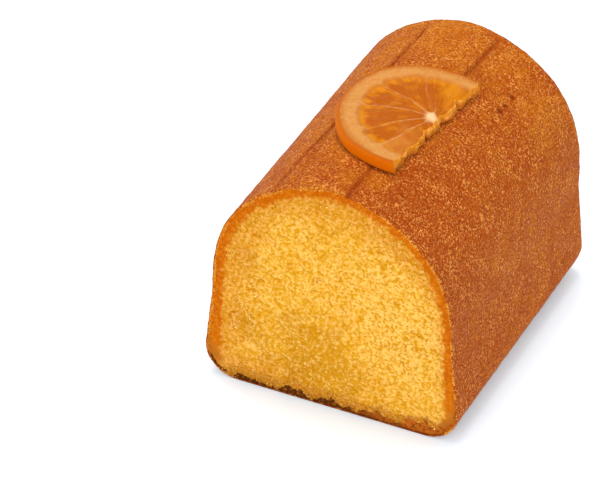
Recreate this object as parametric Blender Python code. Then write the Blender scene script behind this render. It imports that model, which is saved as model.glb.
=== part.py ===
"""Orange loaf cake, cut open at its front end, with a candied orange half-slice on its crown.

The loaf was baked in an arched mould and turned out, so its flat side is down. It runs along Y,
with the cut face towards -Y. Lengths are in metres. The loaf starts as a sphere of rings and
columns and the half-slice as an extruded grid, and formulas place their points.
"""

import math

import bmesh
import bpy
import numpy as np

MM = 0.001

# Loaf: its section is a flat base, round corners, sides that lean in, and a superellipse arch
HALF_WIDTH = 45.0 * MM
HEIGHT = 88.3 * MM
LENGTH = 106.9 * MM
CORNER_RADIUS = 11.8 * MM
SHOULDER_HEIGHT = 36.0 * MM
ARCH_HALF_WIDTH = 42.2 * MM
ARCH_FOOT = 31.5 * MM
ARCH_SIDE_POWER = 1.695
ARCH_TOP_POWER = 3.0
FAR_END_GROWTH = 0.018
FAR_EDGE_RADIUS = 3.5 * MM
SECTION_CENTRE_HEIGHT = 40.0 * MM

# The knife went in a little askew: slopes of the cut face across and up the loaf
CUT_SLOPE_ACROSS = math.tan(math.radians(2.1))
CUT_SLOPE_UP = math.tan(math.radians(-0.98))

# Crust relief: two creases that the mould left along the crown, and the band between them
CREASE_DEPTH = 0.55 * MM
CREASE_HALF_WIDTH = 0.75 * MM
LEFT_CREASE_MIDDLE = -16.9 * MM
LEFT_CREASE_DRIFT = 3.4 * MM
RIGHT_CREASE_MIDDLE = 7.9 * MM
RIGHT_CREASE_DRIFT = 3.1 * MM
BAND_RISE = 0.35 * MM
BAND_SHOULDER = 2.5 * MM
CREASE_FADE = (0.6, 0.75)
UNEVENNESS = 0.15 * MM
SWELLS = ((1.0, (61.0, 38.0, 0.7), (-29.0, 47.0, 1.9)), (0.6, (143.0, 97.0, 0.0), (0.0, 118.0, 0.4)))
SWELLS_PEAK = 1.6

# Cut face relief: the crumb is torn and rough, and hangs over a crust that is set back below it
CRUST_THICKNESS = 1.8 * MM
BASE_CRUST_THICKNESS = 3.0 * MM
BASE_CRUST_SETBACK = 0.9 * MM
CRUMB_SETBACK = 0.25 * MM
CRUMB_ROUGHNESS = 0.3 * MM
CRUMB_WAVES = (
    (0.5, (430.0, 150.0, 0.5), (-130.0, 370.0, 1.1)),
    (0.5, (260.0, -220.0, 2.3), (80.0, 300.0, 0.2)),
)
RAGGED_EDGE = ((0.35, 420.0, 1.0), (0.2, 1150.0, 0.0))

# Loaf mesh: columns in each stretch of the half section, and rings along the surface
COLUMNS = {"base": 4, "corner": 6, "side": 5, "right_arch": 20, "crease": 2, "band": 10, "left_arch": 17}
CUT_FACE_INSETS = (0.0, 0.5 * MM, 1.8 * MM, 3.2 * MM, 5.5 * MM)
CUT_FACE_RINGS = 6
LENGTH_RINGS = 26
SECTION_STEPS = 20
FAR_EDGE_RINGS = 4
FAR_FACE_RINGS = 4

# Candied orange: its outline in plan about its middle is a mean radius with three gentle waves
SLICE_MIDDLE = (13.0 * MM, 46.0 * MM)
SLICE_TURN = math.radians(5.2)
SLICE_MEAN_RADIUS = 25.7 * MM
SLICE_WAVES = ((2.2 * MM, 6.7 * MM), (2.4 * MM, -6.1 * MM), (-3.1 * MM, -1.7 * MM))
CHORD_OFFSET = 1.3 * MM
CORE_PLACE = (0.9 * MM, 0.8 * MM)
BAND_FADE = (9.0 * MM, 16.0 * MM)
SLICE_GAP = 0.35 * MM
RIND_STANDOFF = 2.6 * MM
RIND_REACH = 21.0 * MM
RIND_THICKNESS = 4.2 * MM
FLESH_DIP = 1.2 * MM
FLESH_EDGE = (0.73, 0.82)
CORE_RADIUS = 3.4 * MM
CORE_RISE = 0.5 * MM
RIM_ROUND = 0.7 * MM
RIM_SHRINK = 0.035
SLICE_CENTROID = (12.0 * MM, 0.0)
TOOTH_DEPTH = 0.55 * MM
TOOTH_REACH = 3.0 * MM
TEETH = ((0.5, 1500.0, 0.6), (0.35, 2600.0, 2.0), (0.25, 640.0, 0.0))
FAN_COLUMNS = 44
FAN_ROWS = 12


def smooth_step(low, high, value):
    """0 below low, 1 above high, and a cubic between them."""
    part = np.clip((value - low) / (high - low), 0.0, 1.0)
    return part * part * (3.0 - 2.0 * part)


def ripples(place, waves):
    """Sum of sine waves, each given by its height, waves per metre times two pi, and phase."""
    return sum(high * np.sin(often * place + phase) for high, often, phase in waves)


def swells(u, v, waves):
    """Sum of products of two slanting sine waves over a surface with the coordinates u and v."""
    total = 0.0
    for high, first, second in waves:
        crossing = np.sin(second[0] * u + second[1] * v + second[2])
        total = total + high * np.sin(first[0] * u + first[1] * v + first[2]) * crossing
    return total


def section_line():
    """Half section from the middle of the base up to the crown, and how many points each stretch has."""
    foot = (SHOULDER_HEIGHT - ARCH_FOOT) / (HEIGHT - ARCH_FOOT)
    rise = foot + (1.0 - foot) * np.sin(np.linspace(0.0, math.pi / 2, 4 * SECTION_STEPS))
    arch_x = ARCH_HALF_WIDTH * (1.0 - rise**ARCH_TOP_POWER).clip(0.0) ** (1.0 / ARCH_SIDE_POWER)
    arch_z = ARCH_FOOT + (HEIGHT - ARCH_FOOT) * rise
    corner_x, corner_z = HALF_WIDTH - CORNER_RADIUS, CORNER_RADIUS
    reach = math.hypot(arch_x[0] - corner_x, arch_z[0] - corner_z)
    lean = math.atan2(arch_z[0] - corner_z, arch_x[0] - corner_x) - math.acos(CORNER_RADIUS / reach)
    turn = np.linspace(-math.pi / 2, lean, SECTION_STEPS)
    base_x = np.linspace(0.0, corner_x, SECTION_STEPS)[:-1]
    side = np.linspace(0.0, 1.0, SECTION_STEPS)[1:-1]
    round_x = corner_x + CORNER_RADIUS * np.cos(turn)
    round_z = corner_z + CORNER_RADIUS * np.sin(turn)
    x = np.concatenate([base_x, round_x, round_x[-1] + (arch_x[0] - round_x[-1]) * side, arch_x])
    z = np.concatenate([base_x * 0.0, round_z, round_z[-1] + (arch_z[0] - round_z[-1]) * side, arch_z])
    return x, z, (len(base_x), len(base_x) + len(turn) - 1, len(base_x) + len(turn) + len(side))


class Section:
    """The loaf's closed section by distance along it, from the middle of the base round by +X."""

    def __init__(self):
        x, z, self.marks = section_line()
        self.x = np.concatenate([x, -x[-2::-1]])
        self.z = np.concatenate([z, z[-2::-1]])
        step = np.hypot(np.diff(self.x), np.diff(self.z))
        self.distance = np.concatenate([[0.0], np.cumsum(step)])
        self.total = self.distance[-1]
        self.crown = len(x) - 1

    def point(self, s):
        return np.interp(s, self.distance, self.x), np.interp(s, self.distance, self.z)

    def normal(self, s):
        """Outward normal: the direction along the line, over a short reach, turned by a right angle."""
        reach = 1.0 * MM
        x0, z0 = self.point((s - reach) % self.total)
        x1, z1 = self.point((s + reach) % self.total)
        size = np.hypot(x1 - x0, z1 - z0)
        return (z1 - z0) / size, (x0 - x1) / size

    def along_at(self, x):
        """Distance along the section where the arch is at this x."""
        first = self.marks[2]
        arch_x = self.x[first : 2 * self.crown - first + 1]
        arch_s = self.distance[first : 2 * self.crown - first + 1]
        return np.interp(-x, -arch_x, arch_s)


def growth(y):
    """The loaf widens and rises a little towards its far end."""
    return 1.0 + FAR_END_GROWTH * np.clip(y / LENGTH, 0.0, 1.0)


def crease_x(middle, drift, y):
    """A crease swings from one side of its middle to the other over the loaf's length, as half a cosine."""
    return middle - drift * np.cos(math.pi * np.clip(y / LENGTH, 0.0, 1.0))


def column_places(section, columns, y):
    """Distance along the section of each column, with columns that follow both creases."""
    marks = [section.distance[m] for m in section.marks]
    left = section.along_at(crease_x(LEFT_CREASE_MIDDLE, LEFT_CREASE_DRIFT, y))
    right = section.along_at(crease_x(RIGHT_CREASE_MIDDLE, RIGHT_CREASE_DRIFT, y))
    w = CREASE_HALF_WIDTH
    counts = [COLUMNS[name] for name in ("base", "corner", "side", "right_arch")]
    counts += [1, 1, COLUMNS["band"], 1, 1]
    counts += [COLUMNS[name] for name in ("left_arch", "side", "corner", "base")]
    places = [0.0, marks[0], marks[1], marks[2], right - w, right, right + w]
    places += [left - w, left, left + w, section.total - marks[2]]
    places += [section.total - marks[1], section.total - marks[0], section.total]
    return np.interp(columns, np.cumsum([0] + counts), places)


def crust_relief(section, s, y):
    """How far the crust stands out: the raised band, the grooves of the creases and slow swells."""
    x, z = section.point(s)
    left = crease_x(LEFT_CREASE_MIDDLE, LEFT_CREASE_DRIFT, y)
    right = crease_x(RIGHT_CREASE_MIDDLE, RIGHT_CREASE_DRIFT, y)
    on_top = smooth_step(*CREASE_FADE, z / HEIGHT)
    band = smooth_step(left - BAND_SHOULDER, left, x) * (1.0 - smooth_step(right, right + BAND_SHOULDER, x))
    groove = np.zeros_like(x)
    for crease in (left, right):
        away = np.abs(s - section.along_at(crease))
        groove += (1.0 - away / CREASE_HALF_WIDTH).clip(0.0)
    above_base = smooth_step(0.0, CORNER_RADIUS, z)
    sunk = UNEVENNESS * above_base * (SWELLS_PEAK - swells(s, y, SWELLS))
    return on_top * (BAND_RISE * band - CREASE_DEPTH * groove) - sunk


def cut_plane(x, z):
    """Depth of the knife's cut at a point of the section."""
    return x * CUT_SLOPE_ACROSS + z * CUT_SLOPE_UP


def cut_relief(x, z, inset):
    """How far the cut surface lies behind the knife's plane, by the distance in from the crust."""
    inside = smooth_step(0.3 * MM, CRUST_THICKNESS, inset)
    edge = BASE_CRUST_THICKNESS * (1.0 + ripples(x, RAGGED_EDGE))
    base = 1.0 - smooth_step(0.6 * edge, 1.3 * edge, z)
    middle = inside * (CRUMB_SETBACK + CRUMB_ROUGHNESS * swells(x, z, CRUMB_WAVES))
    return middle * (1.0 - base) + base * BASE_CRUST_SETBACK


def body_ring(section, columns, t):
    """A ring round the loaf, at the part t of the way from the cut to the far edge's rounding."""
    flat_s = column_places(section, columns, t * LENGTH)
    x, z = section.point(flat_s)
    end = LENGTH - FAR_EDGE_RADIUS
    y = cut_plane(x, z) * (1.0 - t) + end * t
    return ring_points(section, flat_s, y, 0.0)


def ring_points(section, s, y, inset):
    """Points of the crust at these places, moved in by inset and grown with the loaf."""
    x, z = section.point(s)
    nx, nz = section.normal(s)
    out = crust_relief(section, s, y) - inset
    return np.stack([(x + nx * out) * growth(y), y, (z + nz * out).clip(0.0) * growth(y)], axis=1)


def shrunk_ring(ring, part):
    """A ring scaled about the middle of the section."""
    centre = np.array([0.0, 0.0, SECTION_CENTRE_HEIGHT])
    flat = ring * [1.0, 0.0, 1.0]
    return centre + (flat - centre) * part + ring * [0.0, 1.0, 0.0]


def loaf_rings(section, columns):
    """All rings of the loaf, from the middle of the cut face to the middle of the far end."""
    s = column_places(section, columns, 0.0)
    front = []
    for inset in CUT_FACE_INSETS[1:]:
        front.append((ring_points(section, s, 0.0 * s, inset), inset))
    last, depth = front[-1]
    for ring in range(1, CUT_FACE_RINGS + 1):
        part = 1.0 - ring / (CUT_FACE_RINGS + 1.0)
        front.append((shrunk_ring(last, part), depth + (1.0 - part) * HALF_WIDTH))
    for ring, inset in front:
        ring[:, 1] = cut_plane(ring[:, 0], ring[:, 2]) + cut_relief(ring[:, 0], ring[:, 2], inset)
    rings = [ring for ring, _ in reversed(front)]
    rings += [body_ring(section, columns, step / (LENGTH_RINGS - 1)) for step in range(LENGTH_RINGS)]
    far_s = column_places(section, columns, LENGTH)
    for step in range(1, FAR_EDGE_RINGS + 1):
        turn = math.pi / 2 * step / FAR_EDGE_RINGS
        y = LENGTH - FAR_EDGE_RADIUS * (1.0 - math.sin(turn))
        inset = FAR_EDGE_RADIUS * (1.0 - math.cos(turn))
        rings.append(ring_points(section, far_s, y + 0.0 * far_s, inset))
    for ring in range(1, FAR_FACE_RINGS + 1):
        rings.append(shrunk_ring(rings[-ring], 1.0 - ring / (FAR_FACE_RINGS + 1.0)))
    return rings


def ring_body(name, rings, first_pole, last_pole, material):
    """One closed body from rings and two poles: a sphere primitive whose points are moved onto them."""
    columns = len(rings[0])
    bm = bmesh.new()
    bmesh.ops.create_uvsphere(bm, u_segments=columns, v_segments=len(rings) + 1, radius=1.0)
    for vert in bm.verts:
        row = round(math.acos(max(-1.0, min(1.0, vert.co.z))) / math.pi * (len(rings) + 1))
        column = round(math.atan2(vert.co.y, vert.co.x) / (2 * math.pi) * columns) % columns
        if row == 0:
            vert.co = first_pole
        elif row == len(rings) + 1:
            vert.co = last_pole
        else:
            vert.co = rings[row - 1][column]
    return finished_body(name, bm, material)


def finished_body(name, bm, material):
    """Turns the faces outward and makes the object."""
    bmesh.ops.triangulate(bm, faces=bm.faces)
    bmesh.ops.recalc_face_normals(bm, faces=bm.faces)
    mesh = bpy.data.meshes.new(name)
    bm.to_mesh(mesh)
    bm.free()
    mesh.materials.append(material)
    mesh.shade_smooth()
    mesh.set_sharp_from_angle(angle=math.radians(40))
    return bpy.data.objects.new(name, mesh)


def make_loaf(material):
    section = Section()
    total = 2 * sum(COLUMNS[name] for name in ("base", "corner", "side", "crease"))
    total += COLUMNS["right_arch"] + COLUMNS["band"] + COLUMNS["left_arch"]
    rings = loaf_rings(section, np.arange(total))
    front = (0.0, cut_plane(0.0, SECTION_CENTRE_HEIGHT) + CRUMB_SETBACK, SECTION_CENTRE_HEIGHT)
    back = (0.0, LENGTH, SECTION_CENTRE_HEIGHT)
    return ring_body("loaf", rings, front, back, material)


def arch_height(x):
    """Height of the loaf's plain arch above a place across it."""
    part = (np.abs(x) / ARCH_HALF_WIDTH).clip(0.0, 1.0) ** ARCH_SIDE_POWER
    return ARCH_FOOT + (HEIGHT - ARCH_FOOT) * (1.0 - part) ** (1.0 / ARCH_TOP_POWER)


def slice_seat(x, y):
    """Underside of the half-slice: it lies on the raised band and its rind side stands off a little."""
    band = BAND_RISE * (1.0 - smooth_step(*BAND_FADE, x))
    crown = arch_height(x / growth(y)) * growth(y)
    return crown + band + SLICE_GAP + RIND_STANDOFF * smooth_step(0.0, RIND_REACH, -x)


def slice_radius(angle):
    """Outline radius of the half-slice about its middle."""
    radius = SLICE_MEAN_RADIUS
    for order, (even, odd) in enumerate(SLICE_WAVES, start=1):
        radius = radius + even * np.cos(order * angle) + odd * np.sin(order * angle)
    return radius


def fan_point(column, row):
    """Point of the half-slice's fan: columns turn about the middle of the chord, rows go out to the rim."""
    angle = np.linspace(math.radians(-12), math.radians(192), 2000)
    rim_a, rim_b = slice_radius(angle) * np.sin(angle), slice_radius(angle) * np.cos(angle)
    about_chord = np.arctan2((rim_a + CHORD_OFFSET).clip(0.0), rim_b)
    reach = np.hypot(rim_a + CHORD_OFFSET, rim_b)
    turn = math.pi * column / FAN_COLUMNS
    distance = np.interp(turn, about_chord, reach) * row / FAN_ROWS
    return distance * math.sin(turn) - CHORD_OFFSET, distance * math.cos(turn)


def torn_chord(a, b):
    """Moves points near the chord in and out, as if the slice were torn and not cut there."""
    return a + TOOTH_DEPTH * ripples(b, TEETH) * (1.0 - smooth_step(-CHORD_OFFSET, TOOTH_REACH, a))


def slice_thickness(a, b):
    """Thickness of the half-slice: full at rind and pith, less in the flesh, more again at the core."""
    angle = np.arctan2(a, b)
    part = np.hypot(a, b) / slice_radius(angle + 2 * math.pi * (angle < -1.0))
    flesh = 1.0 - smooth_step(*FLESH_EDGE, part)
    distance = np.hypot(a - CORE_PLACE[0], b - CORE_PLACE[1])
    core = CORE_RISE * (1.0 - smooth_step(0.4 * CORE_RADIUS, CORE_RADIUS, distance))
    return RIND_THICKNESS - flesh * (FLESH_DIP - core)


def slice_place(a, b, lift):
    """Place of a point of the half-slice: a away from its chord, b along it, lift above its underside."""
    a = torn_chord(a, b)
    x = SLICE_MIDDLE[0] - a * math.cos(SLICE_TURN) + b * math.sin(SLICE_TURN)
    y = SLICE_MIDDLE[1] + a * math.sin(SLICE_TURN) + b * math.cos(SLICE_TURN)
    return x, y, slice_seat(x, y) + lift


def slice_point(column, row, level):
    """Level 0 is the underside, 1 and 2 the lower and upper edge of the rind, and 3 the cut top."""
    a, b = fan_point(column, row)
    thickness = slice_thickness(a, b)
    lift = (0.0, RIM_ROUND, thickness - RIM_ROUND, thickness)[level]
    if level in (0, 3):
        a += (SLICE_CENTROID[0] - a) * RIM_SHRINK
        b += (SLICE_CENTROID[1] - b) * RIM_SHRINK
    return slice_place(a, b, lift)


def make_candied_orange(material):
    """A flat grid extruded three times, whose points are then placed as a thick, bent half-disc."""
    bm = bmesh.new()
    bmesh.ops.create_grid(bm, x_segments=FAN_COLUMNS, y_segments=FAN_ROWS, size=1.0)
    places = {vert: (vert.co.x, vert.co.y, 0) for vert in bm.verts}
    faces = list(bm.faces)
    for level in (1, 2, 3):
        grown = bmesh.ops.extrude_face_region(bm, geom=faces, use_keep_orig=True)["geom"]
        if level > 1:
            bmesh.ops.delete(bm, geom=faces, context="FACES")
        faces = [item for item in grown if isinstance(item, bmesh.types.BMFace)]
        for vert in {vert for face in faces for vert in face.verts}:
            places[vert] = (vert.co.x, vert.co.y, level)
    for vert in bm.verts:
        across, out, level = places[vert]
        column = round((across + 1.0) / 2 * FAN_COLUMNS)
        row = round((out + 1.0) / 2 * FAN_ROWS)
        vert.co = slice_point(column, row, level)
    bmesh.ops.remove_doubles(bm, verts=bm.verts, dist=0.001 * MM)
    return finished_body("candied_orange_half", bm, material)


def finish(name, colour, roughness):
    material = bpy.data.materials.new(name)
    material.use_nodes = True
    shader = material.node_tree.nodes["Principled BSDF"]
    shader.inputs["Base Color"].default_value = (*colour, 1.0)
    shader.inputs["Roughness"].default_value = roughness
    shader.inputs["Metallic"].default_value = 0.0
    material.diffuse_color = (*colour, 1.0)
    return material


def stand_on_origin(objects):
    """Moves the meshes together so that the middle of the base of their common box is the origin."""
    points = np.array([vert.co[:] for obj in objects for vert in obj.data.vertices])
    low, high = points.min(axis=0), points.max(axis=0)
    for obj in objects:
        for vert in obj.data.vertices:
            vert.co.x -= (low[0] + high[0]) / 2
            vert.co.y -= (low[1] + high[1]) / 2
            vert.co.z -= low[2]
        obj.data.update()


def main():
    for obj in list(bpy.data.objects):
        bpy.data.objects.remove(obj, do_unlink=True)
    collection = bpy.data.collections.new("orange_loaf_cake")
    bpy.context.scene.collection.children.link(collection)
    loaf = make_loaf(finish("browned_crust", (0.42, 0.13, 0.025), 0.6))
    orange = make_candied_orange(finish("candied_orange", (0.72, 0.24, 0.03), 0.3))
    for obj in (loaf, orange):
        collection.objects.link(obj)
    stand_on_origin((loaf, orange))


main()
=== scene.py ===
"""Dresses the packed orange loaf cake: browned crust, torn golden crumb and a candied orange half-slice.

The file is laid out as an add-on whose operators make one piece each. Lengths are in metres, but for the
defaults of lengths and the sizes of noise, which are given in millimetres. The loaf runs along Y with its
cut face towards -Y, and stands on its flat side.
"""

import math

import bpy
import numpy as np
from bpy.props import FloatProperty, FloatVectorProperty, IntProperty, PointerProperty
from mathutils import Matrix, Vector


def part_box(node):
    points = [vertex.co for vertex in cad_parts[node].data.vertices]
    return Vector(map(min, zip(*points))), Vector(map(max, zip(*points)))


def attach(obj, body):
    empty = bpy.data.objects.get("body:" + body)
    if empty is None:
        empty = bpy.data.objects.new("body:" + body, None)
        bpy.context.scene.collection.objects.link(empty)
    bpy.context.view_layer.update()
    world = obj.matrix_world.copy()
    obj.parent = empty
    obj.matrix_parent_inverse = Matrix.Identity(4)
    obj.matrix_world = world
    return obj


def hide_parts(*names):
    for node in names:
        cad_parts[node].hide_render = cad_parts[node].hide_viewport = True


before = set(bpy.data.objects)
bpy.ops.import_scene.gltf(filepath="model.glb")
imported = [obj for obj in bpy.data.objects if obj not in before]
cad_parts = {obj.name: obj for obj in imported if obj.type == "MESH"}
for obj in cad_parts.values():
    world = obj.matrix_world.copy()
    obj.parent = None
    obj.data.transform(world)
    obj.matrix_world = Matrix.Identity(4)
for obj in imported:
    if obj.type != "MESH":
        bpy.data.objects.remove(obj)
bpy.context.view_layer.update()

bl_info = {
    "name": "Orange Loaf Cake",
    "version": (1, 0, 0),
    "blender": (4, 5, 0),
    "location": "3D View > Sidebar > Cake",
    "description": "Builds a cut orange loaf cake with a candied orange half-slice on its crown",
    "category": "Add Mesh",
}

MM = 0.001
LOAF_LOW, LOAF_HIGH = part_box("loaf")


def mm(*sizes):
    """Millimetres as metres."""
    return tuple(size * MM for size in sizes)


# Slow swells of the crust and of the cut face: height, then two slanting waves that are multiplied, each
# with its waves per metre times two pi in both directions and its phase
CRUST_SWELLS = (
    (1.0, (61.0, 38.0, 0.7), (-29.0, 47.0, 1.9)),
    (0.6, (143.0, 97.0, 0.0), (0.0, 118.0, 0.4)),
)
SWELLS_PEAK = 1.6
CRUMB_SWELLS = (
    (0.5, (430.0, 150.0, 0.5), (-130.0, 370.0, 1.1)),
    (0.5, (260.0, -220.0, 2.3), (80.0, 300.0, 0.2)),
)
# Ripples of a line: height, waves per metre times two pi, and phase
RAGGED_EDGE = ((0.35, 420.0, 1.0), (0.2, 1150.0, 0.0))
# Layers of clouds: height, size and seed. They are the wander of the creases, the wavering edges of the
# dark band and of the base crust, and the teeth and the wall of the torn edge
CREASE_WANDER = ((0.35 * MM, 4.0 * MM, 11), (0.25 * MM, 1.6 * MM, 12))
BAND_WAVER = ((0.7 * MM, 2.6 * MM, 43), (0.7 * MM, 1.0 * MM, 44))
BASE_WAVER = ((1.2 * MM, 2.4 * MM, 51), (0.9 * MM, 0.9 * MM, 52))
TEETH = ((0.9, 3.6 * MM, 101), (0.6, 1.8 * MM, 102), (0.2, 0.9 * MM, 103))
TORN_WALL = ((0.4 * MM, 1.2 * MM, 161), (0.4 * MM, 2.4 * MM, 162))
# Painted light and painted shade of the cut face: the zone painted lighter and the zone painted deeper,
# each with its place across and up, and radius
PAINTED_LIGHT_ZONE = mm(24.0, 38.0, 22.0)
PAINTED_SHADE_ZONE = mm(-3.0, 19.0, 19.0)

# Dents beside the half-slice: place across the loaf and along it, radius and depth
DENTS = (
    mm(24.6, 83.5, 1.1, 0.75),
    mm(24.4, 77.6, 1.0, 0.75),
    mm(24.2, 74.0, 1.3, 0.80),
    mm(24.9, 67.7, 0.9, 0.55),
    mm(24.2, 94.7, 0.7, 0.50),
    mm(22.0, 81.3, 4.0, 0.20),
)

# The half-slice's outline about its middle: a mean radius and three waves, each an even and an odd part
SLICE_WAVES = (mm(2.2, 6.7), mm(2.4, -6.1), mm(-3.1, -1.7))
# Membranes between the segments: angle about the core in degrees, how far out each one reaches, and how
# plainly it shows
MEMBRANES = (
    (168.0, 1.0, 1.0),
    (146.0, 1.0, 1.0),
    (111.5, 1.0, 0.8),
    (78.5, 1.0, 0.9),
    (38.0, 1.0, 0.4),
    (24.0, 0.45, 0.5),
)
# Half widths of a membrane and of the scallop it leaves in the flesh's edge
MEMBRANE_WIDTH, SCALLOP_WIDTH = mm(0.26, 1.3)
# Notches torn out of the straight edge: place along it, half width and depth
NOTCHES = (mm(-6.5, 0.9, 1.1), mm(14.4, 1.1, 1.2), mm(4.0, 0.7, 0.5))
# The half-slice's rings close on this point, away from its chord and along it
SLICE_CENTRE = mm(11.0, 0.0)
# Share of the half-slice's height that each rounding of its rim takes
RIM_SHARE = 0.15

# Rings of the crust: over the lip, round the far edge, and in over the far end. The first few rings are the
# recess and the inner side of the lip, and stay smooth
LIP_RINGS, EDGE_RINGS, END_RINGS, SMOOTH_RINGS = 4, 9, 30, 4
# Where the straight wall of the recess behind the lip begins
RECESS_START = 0.3 * MM
# Half widths of a crease's soft and of its sharp darkening
CREASE_SOFT, CREASE_SHARP = mm(1.5, 0.6)
# Share of the recess that the crumb's slab fills
SLAB_SHARE = 0.9

# The crumb lets light through: how far red, green and blue spread, as shares of the scale in metres
CRUMB_SHADER = {
    "Roughness": 0.75,
    "Specular_IOR_Level": 0.02,
    "Subsurface_Weight": 0.5,
    "Subsurface_Radius": (1.0, 0.5, 0.08),
    "Subsurface_Scale": 0.001,
}

# The two soft lights: place and width in metres, and the point that both face
KEY_LIGHT = ((-0.14, 0.12, 1.25), 0.55)
FILL_LIGHT = ((0.15, -1.25, 0.55), 0.9)
LIT_POINT = (0.0, 0.0, 0.04)
# The floor lies this far under the cake
FLOOR_GAP = 0.05 * MM
FLOOR_CORNERS = 64
# The camera's sensor in millimetres, and how far it sees in metres
SENSOR_WIDTH, VIEW_END = 36.0, 20.0


def length(millimetres, name, description):
    """A length of the cake that a user may change."""
    return FloatProperty(
        name=name, description=description, default=millimetres * MM, unit="LENGTH", precision=5
    )


def degrees(value, name, description):
    """An angle that a user may change."""
    return FloatProperty(
        name=name, description=description, default=math.radians(value), subtype="ANGLE"
    )


def amount(value, name, description):
    """A plain number that a user may change."""
    return FloatProperty(name=name, description=description, default=value)


def colour(red, green, blue, name, description):
    """A colour of the cake, linear."""
    return FloatVectorProperty(
        name=name, description=description, default=(red, green, blue), subtype="COLOR", min=0, max=1
    )


class LoafSizes(bpy.types.PropertyGroup):
    """Sizes of the loaf, as in the CAD model."""

    half_width: length(45.0, "Half width", "Half the width of the base")
    height: length(88.3, "Height", "Height of the crown at the cut end")
    length: length(106.9, "Length", "Length from the knife's plane to the far end")
    corner_radius: length(11.8, "Corner radius", "Radius of the lower corners")
    shoulder_height: length(36.0, "Shoulder height", "Where the straight sides meet the arch")
    arch_half_width: length(42.2, "Arch half width", "Half width of the arch's superellipse")
    arch_foot: length(31.5, "Arch foot", "Height of the superellipse's middle")
    arch_side_power: amount(1.695, "Arch side power", "Power across")
    arch_top_power: amount(3.0, "Arch top power", "Power upwards")
    far_end_growth: amount(0.018, "Far end growth", "Share by which the section grows to the far end")
    far_edge_radius: length(3.5, "Far edge radius", "Rounding of the far edge")
    centre_height: length(40.0, "Centre height", "Height of the point that the end faces close on")
    cut_across: degrees(2.1, "Cut slant across", "Slant of the cut across the loaf")
    cut_up: degrees(-0.98, "Cut slant up", "Slant of the cut up the loaf")
    grid: length(0.60, "Crust grid", "Spacing of the crust's mesh")


class CrustSizes(bpy.types.PropertyGroup):
    """Relief of the crust."""

    crease_depth: length(0.6, "Crease depth", "Depth of the two creases along the crown")
    crease_half_width: length(0.7, "Crease half width", "Half width of a crease")
    left_middle: length(-16.9, "Left crease", "Middle place of the left crease across the loaf")
    left_drift: length(3.4, "Left drift", "How far the left crease swings from its middle")
    right_middle: length(7.9, "Right crease", "Middle place of the right crease across the loaf")
    right_drift: length(3.1, "Right drift", "How far the right crease swings from its middle")
    branch_spread: length(6.6, "Branch spread", "How far the faint third crease starts from the left one")
    branch_length: length(40.0, "Branch length", "Where the faint third crease joins the left one")
    branch_share: amount(0.45, "Branch share", "Depth of the third crease as a share")
    band_rise: length(0.35, "Band rise", "How far the crown between the creases stands out")
    band_shoulder: length(2.5, "Band shoulder", "Width over which the raised band ends")
    unevenness: length(0.15, "Unevenness", "Height of the slow swells")
    swell_share: amount(0.4, "Swell share", "Part of the slow swells kept")
    grain: length(0.10, "Grain", "Height of the fine grain")
    pit_depth: length(0.4, "Pit depth", "Depth of the small pits")
    lip_width: length(0.45, "Lip width", "Width of the browned skin seen at the cut")
    lip_depth: length(2.6, "Lip depth", "How far the crumb's slab sits in the crust")
    lip_round: length(0.1, "Lip rounding", "How far the lip's edges are rounded")


class CrumbSizes(bpy.types.PropertyGroup):
    """Relief of the cut face."""

    grid: length(0.30, "Crumb grid", "Spacing of the cut face's mesh")
    band_width: length(2.9, "Band width", "Width of the dark band under the crust")
    band_growth: length(1.1, "Band growth", "How much wider the band is low on the sides")
    skin_width: length(0.8, "Skin width", "Width of the browned skin outside the band, at the left")
    base_thickness: length(3.0, "Base crust", "Thickness of the base crust")
    base_right_growth: amount(1.0, "Base growth", "Share by which it thickens to the right")
    base_setback: length(0.6, "Base setback", "How far the base crust lies behind the knife's plane")
    setback: length(0.25, "Crumb setback", "How far the crumb lies behind the knife's plane")
    roughness: length(0.3, "Roughness", "Height of the waves of the torn crumb")
    granule: length(1.05, "Granule", "Size of the crumb's granules")
    granule_rise: length(0.20, "Granule rise", "How far the granules stand out")
    pore_spacing: length(1.0, "Pore spacing", "Spacing of the small pores")
    pore_radius: length(0.38, "Pore radius", "Largest radius of the small pores")
    hole_spacing: length(4.5, "Hole spacing", "Spacing of the larger torn holes")
    hole_radius: length(0.8, "Hole radius", "Largest radius of the torn holes")
    face_count: IntProperty(name="Face crumbs", description="Loose crumbs on the cut face", default=2600)
    lower_count: IntProperty(name="Lower crumbs", description="Loose crumbs low on the face", default=900)
    lip_count: IntProperty(name="Lip crumbs", description="Loose crumbs on the crust", default=700)
    loose_radius: length(0.46, "Loose crumb radius", "Largest radius of a loose crumb")


class SliceSizes(bpy.types.PropertyGroup):
    """Sizes of the candied orange half-slice, as in the CAD model."""

    middle_x: length(13.0, "Middle across", "Place of the chord's middle across the loaf")
    middle_y: length(46.0, "Middle along", "Place of the chord's middle behind the cut")
    turn: degrees(5.2, "Turn", "Turn of the chord off the loaf's axis")
    mean_radius: length(25.7, "Mean radius", "Mean radius of the outline")
    chord_offset: length(1.3, "Chord offset", "How far the chord lies beyond the outline's middle")
    core_out: length(0.9, "Core out", "Place of the core away from the chord")
    core_along: length(0.8, "Core along", "Place of the core along the chord")
    standoff: length(2.6, "Rind standoff", "How far the rind side stands off the crust")
    reach: length(21.0, "Rind reach", "Distance over which it comes to stand off")
    thickness: length(4.2, "Thickness", "Thickness at the rind")
    dip: length(1.2, "Flesh dip", "How far the flesh lies below the pith")
    flesh_edge: amount(0.775, "Flesh edge", "Part of the radius to the flesh")
    core_radius: length(3.4, "Core radius", "Radius of the raised core")
    core_rise: length(0.5, "Core rise", "Height of the core over the flesh")
    rim_round: length(0.6, "Rim rounding", "How far in the rim's rounding reaches")
    tooth: length(0.55, "Tooth depth", "Raggedness of the straight edge")
    tooth_reach: length(3.0, "Tooth reach", "How far in the raggedness reaches")


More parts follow.
